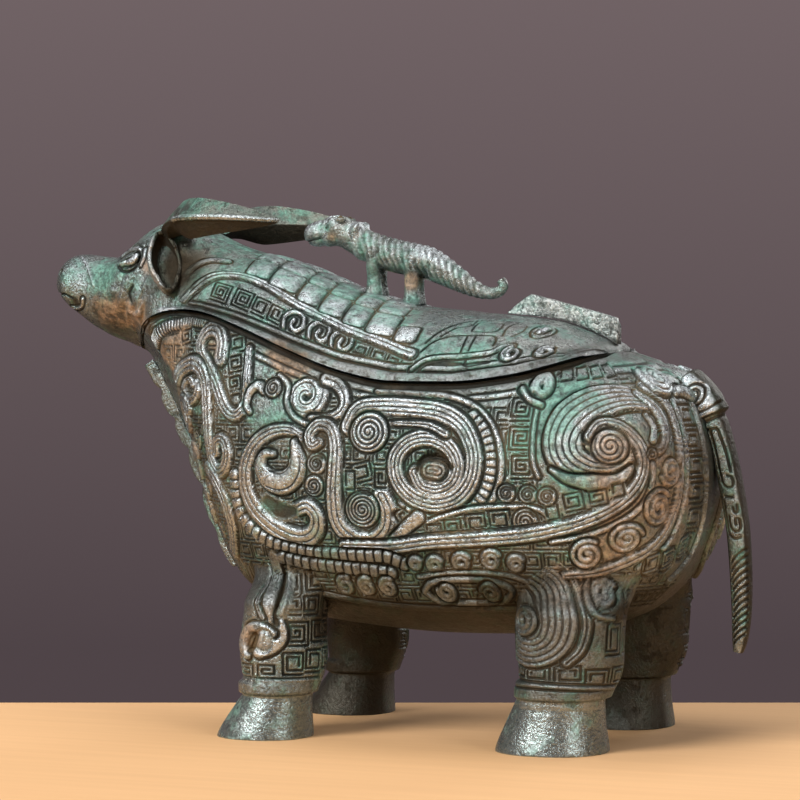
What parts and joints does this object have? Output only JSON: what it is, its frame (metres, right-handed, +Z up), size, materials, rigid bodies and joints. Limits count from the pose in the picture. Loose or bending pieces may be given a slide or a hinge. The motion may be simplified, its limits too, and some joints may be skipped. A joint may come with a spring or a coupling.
{
  "type": "ox-shaped bronze pouring vessel",
  "caption": "Patinated bronze pouring vessel shaped as a standing ox, with a lift-off lid that carries the head, horns and a tiger-shaped grip.",
  "frame": {"origin": "on the ground under the middle of the object's box", "axes": "+X towards the tail, the head looks along -X, +Z up, the animal's left side is at -Y"},
  "size_m": [0.1887, 0.088, 0.1342],
  "materials": {
    "body_bronze": "cast, dark green-black patina",
    "leg_bronze": "cast, dark olive patina",
    "tail_bronze": "cast, dark green patina",
    "lid_bronze": "cast, green and rust-brown patina",
    "horn_bronze": "cast, turquoise-green patina",
    "tiger_bronze": "cast, worn grey-green patina",
    "crest_bronze": "cast, pale speckled grey"
  },
  "bodies": {
    "vessel": {"vessel_body": "body_bronze", "chest_flange": "body_bronze", "front_left_leg": "leg_bronze", "front_right_leg": "leg_bronze", "hind_left_leg": "leg_bronze", "hind_right_leg": "leg_bronze", "tail": "tail_bronze"},
    "lid": {"lid": "lid_bronze", "left_horn": "horn_bronze", "right_horn": "horn_bronze", "left_ear": "lid_bronze", "right_ear": "lid_bronze", "tiger_knob": "tiger_bronze", "lid_crest": "crest_bronze"}
  },
  "joints": [
    {"name": "lid_lift", "type": "slide", "parent": "vessel", "child": "lid", "axis": [0, 0, 1], "range_m": [0, 0.08]}
  ]
}
